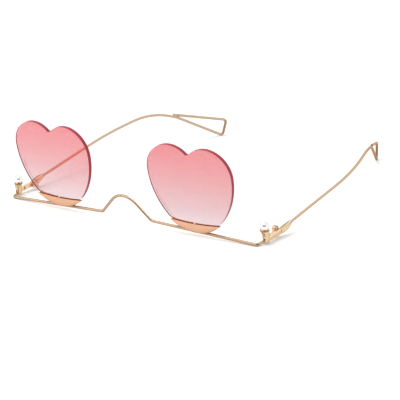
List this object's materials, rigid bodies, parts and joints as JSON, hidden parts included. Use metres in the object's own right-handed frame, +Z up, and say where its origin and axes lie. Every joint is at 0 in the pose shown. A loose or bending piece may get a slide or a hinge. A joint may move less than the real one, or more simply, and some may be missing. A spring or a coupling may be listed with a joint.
{
  "type": "heart shaped sunglasses",
  "caption": "Rimless sunglasses with heart lenses held from below on a bent wire front, pearls on the end pieces, and folding wire temples with looped tips.",
  "frame": {"origin": "middle of the underside, on the plane on which the open sunglasses stand", "axes": "+X to the right as seen from in front, +Y back along the open temples, +Z up; the lenses face -Y"},
  "size_m": [0.146, 0.1512, 0.0427],
  "materials": {
    "gold_wire": "polished light gold plating",
    "peach_gold": "satin peach gold plating",
    "gold_cast": "polished light gold plating",
    "pink_lens": "clear tinted plastic, pink at the top and nearly clear at the bottom",
    "pearl": "glossy pearl",
    "steel": "gold plated steel"
  },
  "bodies": {
    "front": {"front_wire": "gold_wire", "lens_right": "pink_lens", "lens_left": "pink_lens", "lens_holder_right": "peach_gold", "lens_holder_left": "peach_gold", "lens_pin_right": "gold_wire", "lens_pin_left": "gold_wire", "end_piece_right": "gold_cast", "end_piece_left": "gold_cast", "pearl_right": "pearl", "pearl_left": "pearl", "pearl_peg_right": "steel", "pearl_peg_left": "steel", "front_hinge_leaf_right": "gold_cast", "front_hinge_leaf_left": "gold_cast", "hinge_screw_right": "steel", "hinge_screw_left": "steel"},
    "temple_right": {"temple_hinge_leaf_right": "gold_cast", "temple_butt_right": "gold_cast", "temple_wire_right": "gold_wire"},
    "temple_left": {"temple_hinge_leaf_left": "gold_cast", "temple_butt_left": "gold_cast", "temple_wire_left": "gold_wire"}
  },
  "joints": [
    {"name": "temple_fold_right", "type": "hinge", "parent": "front", "child": "temple_right", "pos_m": [0.0696, -0.05185, 0.00365], "axis": [0, -0.0628, 0.998], "range_deg": [0, 84]},
    {"name": "temple_fold_left", "type": "hinge", "parent": "front", "child": "temple_left", "pos_m": [-0.0696, -0.05185, 0.00365], "axis": [0, 0.0628, -0.998], "range_deg": [0, 76]}
  ]
}
